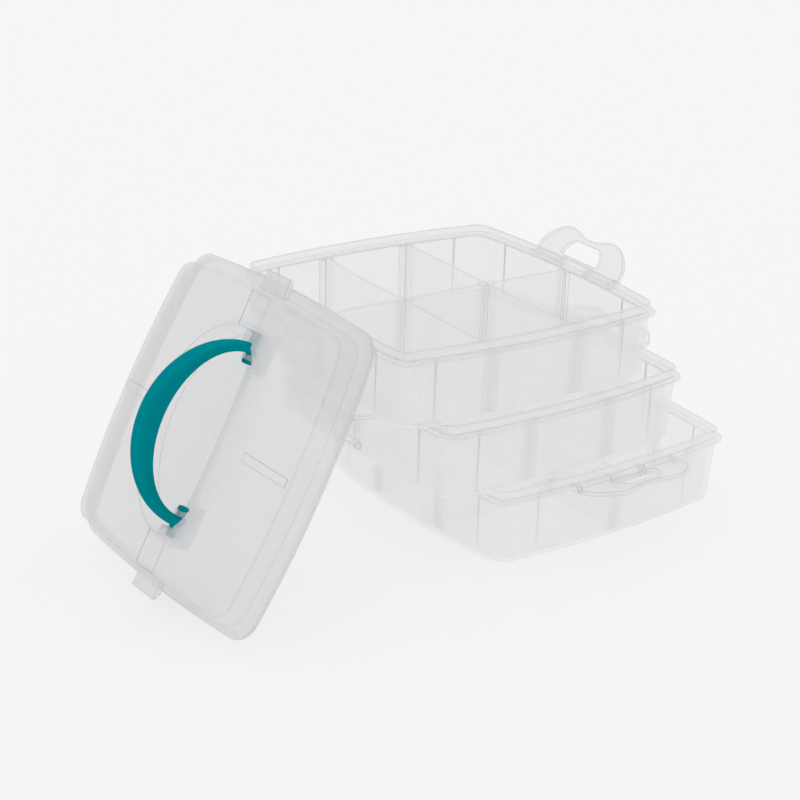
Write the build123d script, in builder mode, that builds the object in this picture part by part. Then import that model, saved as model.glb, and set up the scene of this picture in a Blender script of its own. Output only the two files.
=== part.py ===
from build123d import *
import os
from math import cos, sin, radians, sqrt

# Stacking compartment storage box, taken apart on a table: three square trays
# stacked out of line, the lid leaning beside them with its carry handle up.
# Millimetres, +Z up, origin at the centre of the bottom tray's underside.

os.makedirs("parts", exist_ok=True)

# ---------------------------------------------------------------- tray sizes
AX, AY = 77.5, 78.4            # half sizes over the bead, latch sides at +-X
SX, SY = 4.45, 5.56            # how far the bowed X and Y sides fall back at the corners
RC = 8.4                       # corner radius of the bead
RC_BASE, RC_CAV_LO, RC_CAV_HI = 12.2, 10.0, 6.0  # corner radii of the wall and of the inside
TRAY_H = 38.0                  # foot to collar top
FOOT_IN = 4.6                  # flat underside, in from the bead
BASE_R = 3.2                   # height of the rounding between underside and wall
WALL_LO, WALL_HI = 2.5, 2.1    # outer wall, in from the bead, at base and bead
BEAD_LO, BEAD_HI = 31.4, 33.8  # height of the bead
COLLAR_OUT, COLLAR_IN = 2.3, 3.5
LEDGE_Z = 32.6                 # ledge inside the collar
CAV_HI, CAV_LO = 4.9, 5.2      # inner wall, in from the bead, at ledge and floor
FLOOR_Z = 1.6                  # top of the tray floor
# slots and dividers
DIV_T = 1.2
SLOT_W = 1.6
RAIL_W = 7.0                   # a pair of ribs over all
RAIL_D = 2.0                   # how far a rib stands off its wall
DIV_X = 24.2                   # where the short dividers stand
DIV_TOP = 33.4
RAIL_TOP = 32.3
CORNER_X, CORNER_Y = 48.0, 53.0  # fine upright lines where each corner begins
# latch and its hinge
HINGE_X, HINGE_Z = 78.5, 33.0
PIN_R, BORE_R, KNUCKLE_R, LUG_R = 1.2, 1.27, 2.2, 1.95
KN_IN, KN_OUT = 11.0, 30.0     # a knuckle, from and to, along the side
LATCH_W, LATCH_L, LATCH_T = 32.4, 18.5, 2.0
LATCH_BASE = 2.35              # where the plate begins, from the hinge axis
# lid
LX, LY, LSX, LSY, LRC = 74.0, 75.2, 3.0, 5.2, 10.5
LID_H = 12.5
STEP_IN, STEP_Z = 4.9, 3.8
FACE_IN = 6.4
SKIN = 1.5
WELL_FLOOR = 1.5
PIVOT_Z = 4.8
EYE_R, HPIN_R, HBORE_R = 3.0, 2.0, 2.07
LUG_A, LUG_B = 37.0, 39.6      # lid lug, from and to
POCKET_X = 45.4                # how far out the open pocket over a pivot reaches
EYE_END = 49.8                 # how far out the handle reaches inside its cup
# carry handle
HA, HB = 44.9, 36.4            # outer half ellipse
HA_IN, HB_IN = 40.0, 24.8      # inner half ellipse
RIDGE_A, RIDGE_B, RIDGE_H = 43.2, 33.4, 11.0
HANDLE_UP = 63.0               # degrees up from lying flat in the well

# ------------------------------------------------------- where each part lies
BOTTOM = Plane(origin=(0, 0, 0), x_dir=(0, 1, 0), z_dir=(0, 0, 1))
MID_YAW, TOP_YAW = radians(-0.26), radians(-3.42)
MIDDLE = Plane(origin=(-28.89, 4.32, TRAY_H), x_dir=(cos(MID_YAW), sin(MID_YAW), 0), z_dir=(0, 0, 1))
TOP = Plane(origin=(-47.67, 6.42, 2 * TRAY_H), x_dir=(cos(TOP_YAW), sin(TOP_YAW), 0), z_dir=(0, 0, 1))
LID_X = Vector(0.46747, 0.00211, 0.88401).normalized()
LID_Z = Vector(-0.88391, -0.01342, 0.46745).normalized()
LID = Plane(origin=(-178.24, -1.55, 65.50), x_dir=LID_X, z_dir=LID_Z)


def outline(plane, ax, ay, sx, sy, r, inset):
    """Square with four bowed sides and corners of radius r, as a sketch on a plane."""
    x0, y0 = ax - inset - sx, ay - inset - sy
    lx, ly = x0 - r, y0 - r
    xs = ax - inset - sx * (ly / y0) ** 2
    ys = ay - inset - sy * (lx / x0) ** 2
    k = sqrt(0.5)
    cx, cy = lx + (xs - lx) * k, ly + (ys - ly) * k
    with BuildSketch(plane) as sk:
        with BuildLine():
            ThreePointArc((xs, -ly), (ax - inset, 0), (xs, ly))
            ThreePointArc((xs, ly), (cx, cy), (lx, ys))
            ThreePointArc((lx, ys), (0, ay - inset), (-lx, ys))
            ThreePointArc((-lx, ys), (-cx, cy), (-xs, ly))
            ThreePointArc((-xs, ly), (-ax + inset, 0), (-xs, -ly))
            ThreePointArc((-xs, -ly), (-cx, -cy), (-lx, -ys))
            ThreePointArc((-lx, -ys), (0, -ay + inset), (lx, -ys))
            ThreePointArc((lx, -ys), (cx, -cy), (xs, -ly))
        make_face()
    return sk.sketch


def tray_line(plane, inset, r=None):
    return outline(plane, AX, AY, SX, SY, max(RC - inset, 1.0) if r is None else r, inset)


def lid_line(plane, inset, r=None):
    return outline(plane, LX, LY, LSX, LSY, LRC - 0.45 * inset if r is None else r, inset)


def levels(frame, pairs, line, mode=Mode.ADD):
    """One straight-ruled solid through (height, inset) or (height, inset, corner radius)."""
    loft(sections=[line(frame.offset(z), *rest) for z, *rest in pairs], ruled=True, mode=mode)


def block(frame, x0, x1, y0, y1, z0, z1, mode=Mode.ADD):
    """Straight block between the given limits of a frame."""
    with BuildSketch(frame.offset(z0)) as sk:
        with Locations(((x0 + x1) / 2, (y0 + y1) / 2)):
            Rectangle(abs(x1 - x0), abs(y1 - y0))
    extrude(to_extrude=sk.sketch, amount=z1 - z0, mode=mode)


def side_plane(frame, along, at, height):
    """Plane square to a frame's Y axis, its own X axis along the frame's X (+-1)."""
    p = frame.origin + frame.y_dir * at + frame.z_dir * height
    return Plane(origin=p, x_dir=frame.x_dir * along, z_dir=frame.y_dir * (-along))


def make_tray(frame, name, catches):
    with BuildPart() as tray:
        # outer shape: rounded base, wall, bead, collar
        levels(frame, [(0, FOOT_IN, RC_BASE - 1.2), (0.3, 3.8, RC_BASE - 0.6), (0.9, 3.2, RC_BASE - 0.3), (1.8, 2.75, RC_BASE),
                       (BASE_R, WALL_LO, RC_BASE), (BEAD_LO, WALL_HI, RC - 0.4), (BEAD_LO + 0.01, 1.2), (32.0, 0.1), (33.2, 0.0), (BEAD_HI, 0.6),
                       (BEAD_HI + 0.01, COLLAR_OUT), (37.6, COLLAR_OUT), (TRAY_H, COLLAR_OUT + 0.3)], tray_line)
        # the inside
        levels(frame, [(FLOOR_Z, CAV_LO + 0.25, RC_CAV_LO - 0.2), (1.9, CAV_LO, RC_CAV_LO),
                       (LEDGE_Z, CAV_HI, RC_CAV_HI), (LEDGE_Z + 0.01, COLLAR_IN),
                       (TRAY_H - 0.3, COLLAR_IN), (TRAY_H + 0.01, COLLAR_IN - 0.3)], tray_line, Mode.SUBTRACT)
        # slot ribs: one pair on each latch side, two pairs on each other side
        half = (RAIL_W - SLOT_W) / 4
        off = SLOT_W / 2 + half
        xr = AX - CAV_HI - RAIL_D / 2 + 0.4
        yr = AY - CAV_HI - SY * (DIV_X / 68.1) ** 2 - RAIL_D / 2 + 0.4
        with BuildSketch(frame.offset(FLOOR_Z - 0.2)):
            with Locations(*[(s * xr, t * off) for s in (-1, 1) for t in (-1, 1)]):
                Rectangle(RAIL_D + 0.8, 2 * half)
            with Locations(*[(x + t * off, s * yr) for s in (-1, 1) for t in (-1, 1) for x in (-DIV_X, DIV_X)]):
                Rectangle(2 * half, RAIL_D + 0.8)
            cx = AX - CAV_HI - SX * (CORNER_X / 68.1) ** 2
            cy = AY - CAV_HI - SY * (CORNER_Y / 68.1) ** 2
            with Locations(*[(s * (cx + 0.1), t * CORNER_X) for s in (-1, 1) for t in (-1, 1)]):
                Rectangle(1.0, 0.7)
            with Locations(*[(t * CORNER_Y, s * (cy + 0.1)) for s in (-1, 1) for t in (-1, 1)]):
                Rectangle(0.7, 1.0)
        extrude(amount=RAIL_TOP - FLOOR_Z + 0.2)
        # hinge seats on the two latch sides: the bead is cut back and two rods stand between lugs
        mid, wide = (KN_IN + KN_OUT) / 2, KN_OUT - KN_IN + 0.6
        with BuildSketch(frame.offset(31.0)):
            with Locations(*[(s * 77.9, t * mid) for s in (-1, 1) for t in (-1, 1)]):
                Rectangle(4.0, wide)
        extrude(amount=3.2, mode=Mode.SUBTRACT)
        for t in (-1, 1):
            for a, b in ((KN_IN - 2.3, KN_IN - 0.3), (KN_OUT + 0.3, KN_OUT + 2.3)):
                with BuildSketch(side_plane(frame, 1, t * a, HINGE_Z)):
                    with Locations((-HINGE_X, 0), (HINGE_X, 0)):
                        Circle(LUG_R)
                    with Locations((-(74.6 + HINGE_X) / 2, 0), ((74.6 + HINGE_X) / 2, 0)):
                        Rectangle(HINGE_X - 74.6, 3.2)
                extrude(amount=-t * (b - a))
            with BuildSketch(side_plane(frame, 1, t * (KN_IN - 1.0), HINGE_Z)):
                with Locations((-HINGE_X, 0), (HINGE_X, 0)):
                    Circle(PIN_R)
            extrude(amount=-t * (KN_OUT - KN_IN + 2.0))
        # catches for the latches of the tray underneath
        if catches:
            with BuildSketch(side_plane(frame, 1, 9.0, 0)):
                for s in (-1, 1):
                    with BuildLine():
                        Polyline((s * 74.2, 8.6), (s * 79.0, 8.6), (s * 78.8, 7.4), (s * 76.4, 5.6), (s * 74.2, 5.6), close=True)
                    make_face()
            extrude(amount=18.0)
    tray.part.label = name
    export_step(tray.part, f"parts/{name}.step")
    return tray


def make_long_divider(frame, name):
    half = (RAIL_W - SLOT_W) / 4
    with BuildPart() as div:
        block(frame, -72.0, 72.0, -DIV_T / 2, DIV_T / 2, FLOOR_Z, DIV_TOP)
        for x in (-DIV_X, DIV_X):
            for t in (-1, 1):
                xc = x + t * (SLOT_W / 2 + half)
                block(frame, xc - half, xc + half, -DIV_T / 2 - RAIL_D, DIV_T / 2 + RAIL_D, FLOOR_Z, DIV_TOP)
    div.part.label = name
    export_step(div.part, f"parts/{name}.step")
    return div


def make_short_divider(frame, x, s, name, bow=0.0):
    """Thin wall from the long divider to a side wall; bow bends it in plan."""
    y0, y1 = s * (DIV_T / 2 + 0.2), s * (AY - CAV_HI - SY * (DIV_X / 68.1) ** 2 - 0.65)
    ym, h = (y0 + y1) / 2, DIV_T / 2
    with BuildPart() as div:
        with BuildSketch(frame.offset(FLOOR_Z)):
            if bow:
                with BuildLine():
                    ThreePointArc((x - h, y0), (x - h + bow, ym), (x - h, y1))
                    Line((x - h, y1), (x + h, y1))
                    ThreePointArc((x + h, y1), (x + h + bow, ym), (x + h, y0))
                    Line((x + h, y0), (x - h, y0))
                make_face()
            else:
                with Locations((x, ym)):
                    Rectangle(DIV_T, abs(y1 - y0))
        extrude(amount=DIV_TOP - FLOOR_Z)
    div.part.label = name
    export_step(div.part, f"parts/{name}.step")
    return div


def latch_frame(tray_frame, side, angle):
    """Frame on a latch's hinge axis: X along the side, Y out along the plate, Z off its upper face."""
    a = radians(angle)
    out, up = tray_frame.x_dir * side, tray_frame.z_dir
    v = out * cos(a) + up * sin(a)
    n = up * cos(a) - out * sin(a)
    o = tray_frame.origin + out * HINGE_X + up * HINGE_Z
    return Plane(origin=o, x_dir=v.cross(n), z_dir=n)


def make_latch(tray_frame, side, angle, name):
    f = latch_frame(tray_frame, side, angle)
    with BuildPart() as latch:
        # plate with a two-humped outer edge and one wide opening
        with BuildSketch(f.offset(-LATCH_T / 2)):
            with BuildLine():
                Line((-LATCH_W, LATCH_BASE), (LATCH_W, LATCH_BASE))
                Spline((LATCH_W, LATCH_BASE), (32.3, 5.0), (31.4, 8.3), (28.2, 12.7), (24.0, 16.1), (20.0, 18.0),
                       (16.0, LATCH_L), (12.0, 18.0), (8.0, 16.7), (4.0, 15.8), (0, 15.5), (-4.0, 15.8), (-8.0, 16.7),
                       (-12.0, 18.0), (-16.0, LATCH_L), (-20.0, 18.0), (-24.0, 16.1), (-28.2, 12.7), (-31.4, 8.3),
                       (-32.3, 5.0), (-LATCH_W, LATCH_BASE))
            make_face()
            with BuildLine():
                FilletPolyline((-14.6, 3.8), (14.6, 3.8), (13.2, 9.0), (9.6, 12.9), (-9.6, 12.9), (-13.2, 9.0),
                               radius=1.4, close=True)
            make_face(mode=Mode.SUBTRACT)
        extrude(amount=LATCH_T)
        # two knuckles round the rods
        for t in (-1, 1):
            k = f.origin + f.x_dir * (t * KN_IN)
            kp = Plane(origin=k, x_dir=f.y_dir, z_dir=f.x_dir * t)
            with BuildSketch(kp):
                Circle(KNUCKLE_R)
                with Locations((2.0, 0)):
                    Rectangle(1.2, LATCH_T)
            extrude(amount=KN_OUT - KN_IN)
            with BuildSketch(kp):
                Circle(BORE_R)
            extrude(amount=KN_OUT - KN_IN, mode=Mode.SUBTRACT)
    latch.part.label = name
    export_step(latch.part, f"parts/{name}.step")
    return latch


# ------------------------------------------------------------------ the trays
bottom_tray = make_tray(BOTTOM, "bottom_tray", False)
middle_tray = make_tray(MIDDLE, "middle_tray", True)
top_tray = make_tray(TOP, "top_tray", True)

for frame, tier in ((BOTTOM, "bottom"), (MIDDLE, "middle"), (TOP, "top")):
    make_long_divider(frame, f"{tier}_long_divider")
    make_short_divider(frame, -DIV_X, 1, f"{tier}_short_divider_1", -1.6 if tier == "top" else 0.0)
    make_short_divider(frame, DIV_X, 1, f"{tier}_short_divider_2")
    make_short_divider(frame, -DIV_X, -1, f"{tier}_short_divider_3")
    make_short_divider(frame, DIV_X, -1, f"{tier}_short_divider_4")

# latch angles: degrees the plate stands above level, pointing away from its tray
make_latch(BOTTOM, -1, 8, "latch_bottom_front")
make_latch(BOTTOM, 1, -12, "latch_bottom_back")
make_latch(MIDDLE, 1, 8, "latch_middle_right")
make_latch(MIDDLE, -1, -4, "latch_middle_left")
make_latch(TOP, 1, 53, "latch_top_right")
make_latch(TOP, -1, 8, "latch_top_left")

# -------------------------------------------------------------------- the lid


def half_round(plane, a, b, sign, y_close):
    """Half ellipse about the frame's origin, closed by a straight edge at y_close."""
    with BuildSketch(plane) as sk:
        with BuildLine():
            EllipticalCenterArc((0, 0), a, b, start_angle=0 if sign > 0 else 180, arc_size=180)
            Polyline((-a, 0), (-a, y_close), (a, y_close), (a, 0))
        make_face()
    return sk.sketch


def ramp_foot(plane, a, y_low, y_close):
    """Sliver under the foot of the ramp, with the same corners as half_round."""
    with BuildSketch(plane) as sk:
        with BuildLine():
            ThreePointArc((-a, y_low + 0.6), (0, y_low), (a, y_low + 0.6))
            Polyline((-a, y_low + 0.6), (-a, y_close), (a, y_close), (a, y_low + 0.6))
        make_face()
    return sk.sketch


with BuildPart() as lid:
    levels(LID, [(0, 0.2), (0.2, 0), (SKIN, 0), (STEP_Z, STEP_IN - 0.3), (STEP_Z + 0.4, STEP_IN), (11.3, 6.1), (12.2, FACE_IN),
                 (LID_H, FACE_IN + 0.7)], lid_line)
    levels(LID, [(-0.01, SKIN), (0.6, SKIN + 0.1), (2.5, 6.2), (3.4, 6.5), (10.4, 7.6), (LID_H - SKIN, 8.2)], lid_line, Mode.SUBTRACT)
    # the underside of the handle well: a bowl on the folding side, a ramp on the other
    loft(sections=[half_round(LID, 50.2, 41.7, 1, -0.5), half_round(LID.offset(LID_H - SKIN + 0.2), 52.0, 43.6, 1, -0.5)], ruled=True)
    loft(sections=[ramp_foot(LID, 46.0, 3.2, 6.0), half_round(LID.offset(LID_H - SKIN + 0.2), 46.0, 33.6, -1, 6.0)], ruled=True)
    for s in (-1, 1):
        block(LID, s * 32.4, s * 52.0, -9.6, 9.6, 0, LID_H - SKIN + 0.2)
    # the well itself
    loft(sections=[half_round(LID.offset(WELL_FLOOR), 48.6, 40.1, 1, -0.01), half_round(LID.offset(LID_H + 0.01), 50.5, 42.0, 1, -0.01)],
         ruled=True, mode=Mode.SUBTRACT)
    loft(sections=[ramp_foot(LID.offset(WELL_FLOOR), 44.4, 4.0, 6.0), half_round(LID.offset(LID_H + 0.01), 44.5, 32.4, -1, 6.0)],
         ruled=True, mode=Mode.SUBTRACT)
    for s in (-1, 1):
        block(LID, s * 34.0, s * POCKET_X, -8.0, 8.0, WELL_FLOOR, LID_H + 0.5, Mode.SUBTRACT)
        # the end of the handle turns in a covered cup
        block(LID, s * (POCKET_X - 0.5), s * 50.4, -3.8, 3.8, WELL_FLOOR - 0.5, PIVOT_Z + 3.6, Mode.SUBTRACT)
    # two lugs that carry the handle's pins
    for s in (-1, 1):
        block(LID, s * LUG_A, s * LUG_B, -3.2, 3.2, WELL_FLOOR - 0.3, PIVOT_Z)
        ear = Plane(origin=LID.origin + LID.x_dir * (s * LUG_A) + LID.z_dir * PIVOT_Z, x_dir=LID.y_dir, z_dir=LID.x_dir * s)
        with BuildSketch(ear):
            Circle(3.2)
        extrude(amount=LUG_B - LUG_A)
        with BuildSketch(ear.offset(-1)):
            Circle(HBORE_R)
        extrude(amount=LUG_B - LUG_A + 2, mode=Mode.SUBTRACT)
    # locating rib that drops inside the top tray's collar
    with BuildSketch(LID.offset(-1.5)):
        add(tray_line(Plane.XY, COLLAR_IN + 0.4, 9.0))
        add(tray_line(Plane.XY, COLLAR_IN + 1.6, 8.0), mode=Mode.SUBTRACT)
    extrude(amount=3.3)
    # catches for the top tray's latches, low on the two hinge sides
    for s in (-1, 1):
        with BuildSketch(side_plane(LID, 1, 9.0, 0)):
            with BuildLine():
                Polyline((s * 68.4, 7.6), (s * 77.7, 7.6), (s * 77.2, 6.0), (s * 74.6, 4.7), (s * 68.4, 4.7), close=True)
            make_face()
        extrude(amount=18.0)
    # low ribs across the face, and a shallow channel from each pivot to its catch
    block(LID, -1.5, 2.5, 43.4, 66.5, LID_H - 0.5, LID_H + 0.35)
    block(LID, -1.5, 2.5, -66.5, -33.6, LID_H - 0.5, LID_H + 0.35)
    for s in (-1, 1):
        block(LID, s * 50.0, s * 66.6, -7.0, 7.0, LID_H - 0.35, LID_H + 0.5, Mode.SUBTRACT)
lid.part.label = "lid"
export_step(lid.part, "parts/lid.step")

# ----------------------------------------------------------- the carry handle
HANDLE = Plane(origin=LID.origin + LID.z_dir * PIVOT_Z, x_dir=LID.x_dir,
               z_dir=LID.z_dir * cos(radians(HANDLE_UP)) - LID.y_dir * sin(radians(HANDLE_UP)))

with BuildPart() as carry_handle:
    # wedge section: tall outer wall, ridge near the outer edge, long slope inwards
    loft(sections=[half_round(HANDLE, HA, HB, 1, -0.5), half_round(HANDLE.offset(RIDGE_H), RIDGE_A, RIDGE_B, 1, -0.5)], ruled=True)
    loft(sections=[half_round(HANDLE.offset(-0.01), HA_IN, HB_IN, 1, -0.6),
                   half_round(HANDLE.offset(RIDGE_H + 0.01), RIDGE_A - 1.6, RIDGE_B - 1.8, 1, -0.6)], ruled=True, mode=Mode.SUBTRACT)
    # the ends run down to the pivots
    slope = Plane(origin=HANDLE.origin - HANDLE.x_dir * 60, x_dir=HANDLE.y_dir, z_dir=HANDLE.x_dir)
    with BuildSketch(slope):
        with BuildLine():
            Polyline((-2.0, 4.4), (0.0, 4.6), (20.0, RIDGE_H - 0.4), (26.0, RIDGE_H + 0.05), (26.0, 20.0), (-2.0, 20.0), close=True)
        make_face()
    extrude(amount=120, mode=Mode.SUBTRACT)
    for s in (-1, 1):
        eye = Plane(origin=HANDLE.origin + HANDLE.x_dir * (s * HA_IN), x_dir=HANDLE.y_dir, z_dir=HANDLE.x_dir * s)
        with BuildSketch(eye):
            Circle(EYE_R)
        extrude(amount=EYE_END - HA_IN)
        with BuildSketch(eye.offset(0.5)):
            Circle(HPIN_R)
        extrude(amount=-(HA_IN - LUG_A + 0.8))
        with BuildSketch(eye.offset(-(HA_IN - LUG_A + 0.3))):
            Circle(2.8)
        extrude(amount=-1.5, taper=15)
carry_handle.part.label = "carry_handle"
export_step(carry_handle.part, "parts/carry_handle.step")
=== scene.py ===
"""Three-tier compartment box of clear frosted plastic: lid stood beside its fanned-out trays, teal carry handle."""

import math

import bpy
from mathutils import Matrix, Vector

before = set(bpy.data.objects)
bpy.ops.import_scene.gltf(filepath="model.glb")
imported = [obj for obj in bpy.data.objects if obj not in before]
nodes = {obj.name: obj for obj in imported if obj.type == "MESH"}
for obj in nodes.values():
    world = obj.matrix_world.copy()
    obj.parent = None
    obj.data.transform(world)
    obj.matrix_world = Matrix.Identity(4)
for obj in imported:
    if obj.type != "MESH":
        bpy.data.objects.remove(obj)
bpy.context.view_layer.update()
scene = bpy.context.scene


# ---------------------------------------------------------------- camera
cam_data = bpy.data.cameras.new("camera")
cam_data.sensor_width = 36.0
cam_data.lens = 84.566
cam_data.clip_start = 0.01
cam_data.clip_end = 50.0
cam = bpy.data.objects.new("camera", cam_data)
scene.collection.objects.link(cam)
right = Vector((0.8045422, -0.5930998, 0.0307320))
down = Vector((-0.2038262, -0.3243542, -0.9237149))
ahead = Vector((0.5578231, 0.7369036, -0.3818460))
rot = Matrix((right, -down, -ahead)).transposed().to_4x4()
cam.matrix_world = Matrix.Translation((-0.581928, -0.665387, 0.406236)) @ rot
scene.camera = cam

# ---------------------------------------------------------------- look of the render
scene.view_settings.view_transform = "Standard"
scene.view_settings.look = "None"
scene.cycles.transparent_max_bounces = 48
scene.cycles.max_bounces = 10
scene.cycles.diffuse_bounces = 3
scene.cycles.glossy_bounces = 4
scene.cycles.transmission_bounces = 4


# ---------------------------------------------------------------- materials
class Tree:
    """A short way to write a material's nodes."""

    def __init__(self, name):
        self.mat = bpy.data.materials.new(name)
        self.mat.use_nodes = True
        self.nodes = self.mat.node_tree.nodes
        self.links = self.mat.node_tree.links
        self.nodes.clear()
        self.out = self.add("ShaderNodeOutputMaterial")

    def add(self, kind, inputs=None, **settings):
        n = self.nodes.new(kind)
        for k, v in settings.items():
            setattr(n, k, v)
        for k, v in (inputs or {}).items():
            if isinstance(v, bpy.types.NodeSocket):
                self.links.new(v, n.inputs[k])
            else:
                n.inputs[k].default_value = v
        return n

    def ramp(self, fac, stops, interpolation="LINEAR"):
        n = self.add("ShaderNodeValToRGB", {"Fac": fac})
        n.color_ramp.interpolation = interpolation
        while len(n.color_ramp.elements) < len(stops):
            n.color_ramp.elements.new(0.5)
        for e, (pos, col) in zip(n.color_ramp.elements, stops):
            e.position = pos
            e.color = (*col, 1.0) if len(col) == 3 else col
        return n.outputs["Color"]

    def value(self, fac, stops, interpolation="LINEAR"):
        return self.ramp(fac, [(p, (v, v, v)) for p, v in stops], interpolation)


def film(name, clear, veil, hide_low, hide_high, rough, painted_edge_depth=0.8, reach=0.0006):
    """Frosted polypropylene, one skin of a wall at a time. Most light goes straight through and a share is scattered,
    and that share grows towards grazing, where the view runs along the wall. The scattering is mostly forward,
    so the film hides what is behind it but hardly dims the light that falls on what is behind it. Within reach of an
    edge the skin is made denser and painted dark grey: painted shade standing in for the dark rims that the rounded
    edges of the moulding show as they bend the light."""
    t = Tree(name)
    co = t.add("ShaderNodeTexCoord").outputs["Object"]
    flow = t.add("ShaderNodeTexNoise", {"Vector": co, "Scale": 24.0, "Detail": 3.0, "Roughness": 0.55})
    fine = t.add("ShaderNodeTexNoise", {"Vector": co, "Scale": 2600.0, "Detail": 3.0, "Roughness": 0.6})
    soft = t.add("ShaderNodeBevel", {"Radius": reach}, samples=8)
    plain_n = t.add("ShaderNodeNewGeometry").outputs["Normal"]
    turn = t.add("ShaderNodeVectorMath", {0: soft.outputs[0], 1: plain_n}, operation="DOT_PRODUCT").outputs["Value"]
    turn = t.add("ShaderNodeMath", {0: turn}, operation="ABSOLUTE").outputs[0]
    # mask of how near an edge the point lies, from the bevelled normal; it drives the painted edge shade and a denser
    # film there
    painted_edge_mask = t.value(turn, [(0.72, painted_edge_depth), (0.94, 0.8 * painted_edge_depth), (0.988, 0.3 * painted_edge_depth), (0.997, 0.0)])
    facing = t.add("ShaderNodeLayerWeight", {"Blend": 0.5}).outputs["Facing"]
    span = hide_high - hide_low
    along = t.value(
        facing, [(0.0, hide_low), (0.60, hide_low + 0.12 * span), (0.85, hide_low + 0.45 * span), (1.0, hide_high)]
    )
    hide = t.add("ShaderNodeMath", {0: along, 1: painted_edge_mask}, operation="MAXIMUM").outputs[0]
    see = t.add("ShaderNodeBsdfTransparent", {"Color": (*clear, 1.0)})
    bump = t.add("ShaderNodeBump", {"Height": flow.outputs["Fac"], "Strength": 0.10, "Distance": 0.0012})
    grit = t.add(
        "ShaderNodeBump",
        {"Height": fine.outputs["Fac"], "Strength": 0.06, "Distance": 0.00004, "Normal": bump.outputs["Normal"]},
    )
    tint = t.ramp(flow.outputs["Fac"], [(0.25, tuple(c * 0.99 for c in veil)), (0.75, veil)])
    # painted shade: within reach of an edge the skin colour is pulled towards dark grey (0.30) for the dark rims that
    # light bent at rounded edges makes
    painted_edge_shade_mix = t.add("ShaderNodeMix", {"Factor": painted_edge_mask}, data_type="RGBA")
    t.links.new(tint, painted_edge_shade_mix.inputs[6])
    painted_edge_shade_mix.inputs[7].default_value = (0.30, 0.30, 0.31, 1.0)
    colour = painted_edge_shade_mix.outputs[2]
    gloss = t.value(fine.outputs["Fac"], [(0.2, rough * 0.85), (0.8, rough * 1.15)])
    skin = t.add("ShaderNodeBsdfDiffuse", {"Color": colour, "Normal": grit.outputs["Normal"]})
    back = t.add("ShaderNodeBsdfTranslucent", {"Color": colour, "Normal": bump.outputs["Normal"]})
    body = t.add("ShaderNodeMixShader", {0: 0.5, 1: skin.outputs[0], 2: back.outputs[0]})
    mix = t.add("ShaderNodeMixShader", {0: hide, 1: see.outputs[0], 2: body.outputs[0]})
    shine = t.add("ShaderNodeBsdfGlossy", {"Color": (1, 1, 1, 1), "Roughness": gloss, "Normal": grit.outputs["Normal"]})
    fres = t.value(facing, [(0.0, 0.022), (0.5, 0.04), (0.7, 0.07), (0.85, 0.15), (0.95, 0.32), (1.0, 0.55)])
    top = t.add("ShaderNodeMixShader", {0: fres, 1: mix.outputs[0], 2: shine.outputs[0]})
    path = t.add("ShaderNodeLightPath")
    to_lamp = t.add("ShaderNodeBsdfTransparent", {"Color": (0.987, 0.987, 0.987, 1.0)})
    onward = t.add("ShaderNodeBsdfTransparent", {"Color": (0.988, 0.988, 0.988, 1.0)})
    lit = t.add("ShaderNodeMixShader", {0: path.outputs["Is Shadow Ray"], 1: top.outputs[0], 2: to_lamp.outputs[0]})
    both = t.add("ShaderNodeMixShader", {0: path.outputs["Is Diffuse Ray"], 1: lit.outputs[0], 2: onward.outputs[0]})
    t.links.new(both.outputs[0], t.out.inputs["Surface"])
    return t.mat


def handle_plastic():
    t = Tree("teal_moulded")
    co = t.add("ShaderNodeTexCoord").outputs["Object"]
    cloud = t.add("ShaderNodeTexNoise", {"Vector": co, "Scale": 55.0, "Detail": 3.0, "Roughness": 0.5})
    fine = t.add("ShaderNodeTexNoise", {"Vector": co, "Scale": 1500.0, "Detail": 3.0, "Roughness": 0.65})
    colour = t.ramp(cloud.outputs["Fac"], [(0.30, (0.000, 0.225, 0.262)), (0.70, (0.000, 0.245, 0.284))])
    rough = t.value(fine.outputs["Fac"], [(0.25, 0.42), (0.75, 0.54)])
    bump = t.add("ShaderNodeBump", {"Height": fine.outputs["Fac"], "Strength": 0.25, "Distance": 0.00006})
    skin = t.add(
        "ShaderNodeBsdfPrincipled",
        {"Base Color": colour, "Roughness": rough, "Specular IOR Level": 0.0, "Normal": bump.outputs["Normal"]},
    )
    t.links.new(skin.outputs[0], t.out.inputs["Surface"])
    return t.mat


# one plastic throughout, but the veil colours are painted light and shade: they step lighter from the top tray to the
# bottom tray, which sits by the bright floor, and the lid's veil is painted much darker as shade on the upright lid
looks = {
    "top_tray": film("top_tray_clear", (0.997, 0.997, 0.998), (0.850, 0.850, 0.855), 0.28, 0.60, 0.24),
    "middle_tray": film("middle_tray_clear", (0.997, 0.997, 0.998), (0.868, 0.865, 0.877), 0.28, 0.60, 0.24),
    "bottom_tray": film("bottom_tray_clear", (0.997, 0.997, 0.998), (0.886, 0.881, 0.900), 0.28, 0.60, 0.24, 0.7),
    "divider": film("divider_clear", (0.997, 0.997, 0.998), (0.890, 0.890, 0.893), 0.20, 0.52, 0.22, 0.6, 0.0006),
    "lid": film("lid_clear", (0.996, 0.996, 0.997), (0.715, 0.712, 0.720), 0.385, 0.62, 0.26, 0.7),
    "latch": film("latch_clear", (0.996, 0.996, 0.998), (0.81, 0.81, 0.835), 0.28, 0.60, 0.20, 0.8),
    "handle": handle_plastic(),
}


def kind(name):
    for key in ("divider", "latch", "handle", "top_tray", "middle_tray", "bottom_tray"):
        if key in name:
            return key
    return "lid"


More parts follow.
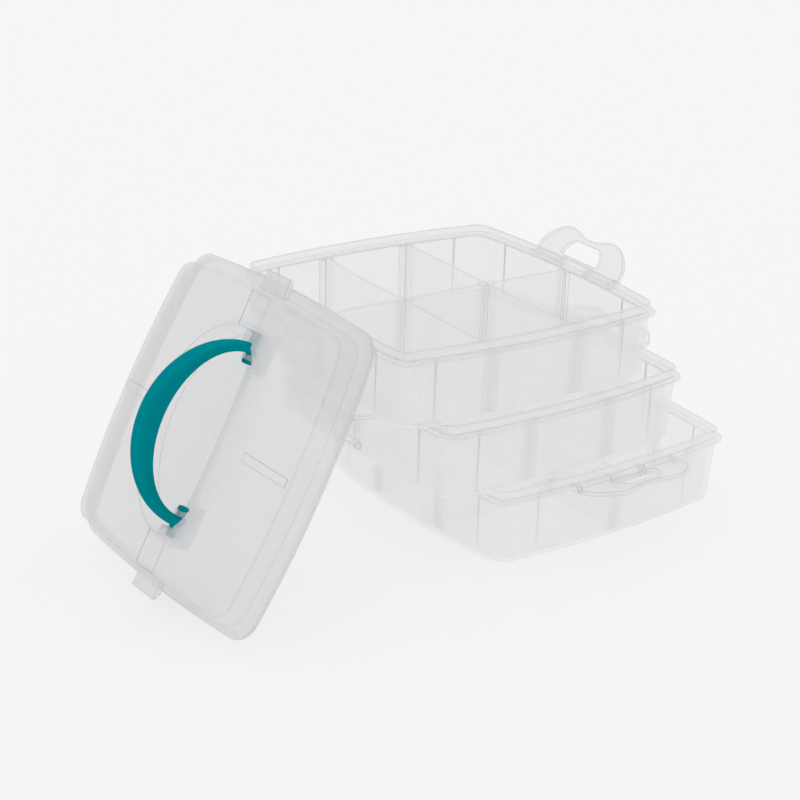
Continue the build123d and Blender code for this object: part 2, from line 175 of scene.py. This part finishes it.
for name, ob in nodes.items():
    look = kind(name)
    if not ob.material_slots:
        ob.data.materials.append(looks[look])
    for s in ob.material_slots:
        s.material = looks[look]
    if look == "handle":
        weld = ob.modifiers.new("weld", "WELD")
        weld.merge_threshold = 0.000004
        bevel = ob.modifiers.new("soft_edges", "BEVEL")
        bevel.width = 0.0004
        bevel.segments = 2
        bevel.limit_method = "ANGLE"
        bevel.angle_limit = math.radians(38)
        bevel.harden_normals = True
        bevel.use_clamp_overlap = True

# ---------------------------------------------------------------- floor and light
floor_mesh = bpy.data.meshes.new("floor")
reach = 6.0
floor_mesh.from_pydata(
    [(-reach, -reach, 0), (reach, -reach, 0), (reach, reach, 0), (-reach, reach, 0)], [], [(0, 1, 2, 3)]
)
floor = bpy.data.objects.new("floor", floor_mesh)
scene.collection.objects.link(floor)
ft = Tree("floor_paper")
fd = ft.add("ShaderNodeBsdfDiffuse", {"Color": (0.90, 0.90, 0.90, 1.0), "Roughness": 0.0})
ft.links.new(fd.outputs[0], ft.out.inputs["Surface"])
floor_mesh.materials.append(ft.mat)

world = bpy.data.worlds.new("studio")
scene.world = world
world.use_nodes = True
wn, wl = world.node_tree.nodes, world.node_tree.links
wn.clear()
bg = wn.new("ShaderNodeBackground")
bg.inputs["Color"].default_value = (1.0, 1.0, 1.0, 1.0)
bg.inputs["Strength"].default_value = 0.825
wo = wn.new("ShaderNodeOutputWorld")
wl.new(bg.outputs[0], wo.inputs["Surface"])


def area(name, at, to, size, power):
    d = bpy.data.lights.new(name, "AREA")
    d.shape = "DISK"
    d.size = size
    d.energy = power
    o = bpy.data.objects.new(name, d)
    scene.collection.objects.link(o)
    o.location = at
    o.rotation_euler = (Vector(to) - Vector(at)).to_track_quat("-Z", "Y").to_euler()
    return o


sun_data = bpy.data.lights.new("key", "SUN")
sun_data.energy = 0.66
sun_data.angle = math.radians(50)
sun = bpy.data.objects.new("key", sun_data)
scene.collection.objects.link(sun)
sun.rotation_euler = Vector((0.05, -0.35, -1.0)).to_track_quat("-Z", "Y").to_euler()
